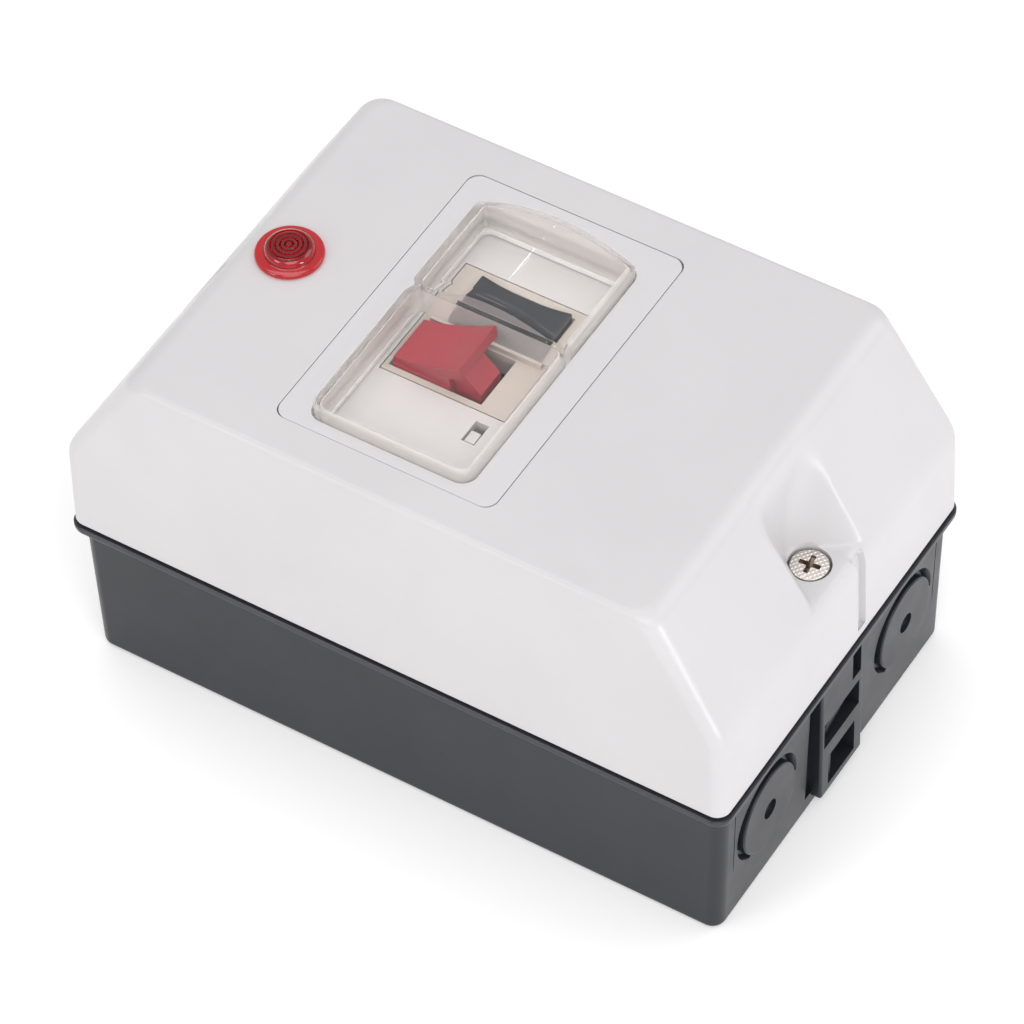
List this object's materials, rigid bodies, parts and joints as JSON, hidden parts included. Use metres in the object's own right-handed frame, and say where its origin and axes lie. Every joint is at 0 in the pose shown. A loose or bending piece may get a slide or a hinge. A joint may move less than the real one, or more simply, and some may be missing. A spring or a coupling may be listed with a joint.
{
  "type": "enclosed motor protection breaker",
  "caption": "Wall box with a motor protection breaker: grey base, white sloped cover, clear window over a red stop lever and a black start button, red pilot lamp, screwed cover.",
  "frame": {"origin": "centre of the flat back face that goes against the wall", "axes": "+Z out of the front cover, +Y up on the wall and along the length, +X to the right seen from the front"},
  "size_m": [0.095, 0.1524, 0.0949],
  "materials": {
    "cover_white": "satin moulded",
    "panel_white": "satin moulded",
    "base_grey": "fine matt moulded",
    "gasket_rubber": "foam rubber",
    "nickel": "nickel plated",
    "membrane_clear": "clear flexible plastic",
    "frame_white": "moulded",
    "mask_white": "moulded",
    "lens_red": "clear red plastic",
    "lamp_black": "moulded",
    "bulb_glass": "clear",
    "housing_ivory": "moulded",
    "housing_black": "moulded",
    "lever_red": "moulded",
    "button_black": "moulded",
    "dial_blue": "moulded",
    "rail_zinc": "zinc plated",
    "terminal_brass": "satin",
    "contact_copper": "copper",
    "coil_enamel": "enamelled copper winding",
    "spring_steel": "drawn wire"
  },
  "bodies": {
    "base": {"enclosure_base": "base_grey", "cover_gasket": "gasket_rubber", "window_mask": "mask_white", "din_rail": "rail_zinc", "rail_screw_left": "nickel", "rail_screw_right": "nickel", "breaker_rear_housing": "housing_black", "breaker_front_housing": "housing_ivory", "stop_spring": "spring_steel", "return_spring": "spring_steel", "earth_terminal": "terminal_brass", "earth_screw": "nickel", "trip_coil_1": "coil_enamel", "bimetal_1": "terminal_brass", "arc_chute_1": "rail_zinc", "line_contact_1": "contact_copper", "line_terminal_clamp_1": "terminal_brass", "line_terminal_screw_1": "nickel", "load_contact_1": "contact_copper", "load_terminal_clamp_1": "terminal_brass", "load_terminal_screw_1": "nickel", "trip_coil_2": "coil_enamel", "bimetal_2": "terminal_brass", "arc_chute_2": "rail_zinc", "line_contact_2": "contact_copper", "line_terminal_clamp_2": "terminal_brass", "line_terminal_screw_2": "nickel", "load_contact_2": "contact_copper", "load_terminal_clamp_2": "terminal_brass", "load_terminal_screw_2": "nickel", "trip_coil_3": "coil_enamel", "bimetal_3": "terminal_brass", "arc_chute_3": "rail_zinc", "line_contact_3": "contact_copper", "line_terminal_clamp_3": "terminal_brass", "line_terminal_screw_3": "nickel", "load_contact_3": "contact_copper", "load_terminal_clamp_3": "terminal_brass", "load_terminal_screw_3": "nickel"},
    "cover": {"enclosure_cover": "cover_white", "cover_screw_top": "nickel", "cover_screw_bottom": "nickel", "operator_panel": "panel_white", "window_membrane": "membrane_clear", "membrane_frame": "frame_white", "lamp_lens": "lens_red", "lamp_nut": "nickel", "lamp_body": "lamp_black", "lamp_bulb": "bulb_glass"},
    "stop_lever": {"stop_lever": "lever_red"},
    "start_button": {"start_button": "button_black"},
    "contact_carrier": {"contact_carrier": "housing_black", "contact_bridge_1": "contact_copper", "contact_bridge_2": "contact_copper", "contact_bridge_3": "contact_copper"},
    "setting_dial": {"setting_dial": "dial_blue"},
    "test_slider": {"test_slider": "mask_white"},
    "trip_bar": {"trip_bar": "mask_white"}
  },
  "joints": [
    {"name": "cover_lift", "type": "slide", "parent": "base", "child": "cover", "axis": [0, 0, 1], "range_m": [0, 0.06]},
    {"name": "stop_lever_press", "type": "hinge", "parent": "base", "child": "stop_lever", "pos_m": [-0.0039, 0.0185, 0.0765], "axis": [1, 0, 0], "range_deg": [0, 10], "stiffness_Nm_per_rad": 0.5, "springref_deg": -5.73},
    {"name": "start_button_press", "type": "slide", "parent": "base", "child": "start_button", "axis": [0, 0, -1], "range_m": [0, 0.003], "stiffness_N_per_m": 1500, "springref_m": -0.0005},
    {"name": "contact_close", "type": "slide", "parent": "base", "child": "contact_carrier", "axis": [0, 0, -1], "range_m": [0, 0.003], "deforming": ["return_spring"]},
    {"name": "current_setting", "type": "hinge", "parent": "base", "child": "setting_dial", "pos_m": [0.0043, -0.0162, 0.078], "axis": [0, 0, 1], "range_deg": [-135, 135]},
    {"name": "test_slide", "type": "slide", "parent": "base", "child": "test_slider", "axis": [1, 0, 0], "range_m": [0, 0.0015]},
    {"name": "trip_bar_turn", "type": "hinge", "parent": "base", "child": "trip_bar", "pos_m": [0.0043, -0.022, 0.0514], "axis": [1, 0, 0], "range_deg": [0, 8], "stiffness_Nm_per_rad": 0.05, "springref_deg": -2.86}
  ],
  "couplings": [
    {"joint": "contact_close", "follows": "start_button_press", "ratio": 1},
    {"joint": "test_slide", "follows": "trip_bar_turn", "m_per_rad": 0.0107}
  ]
}
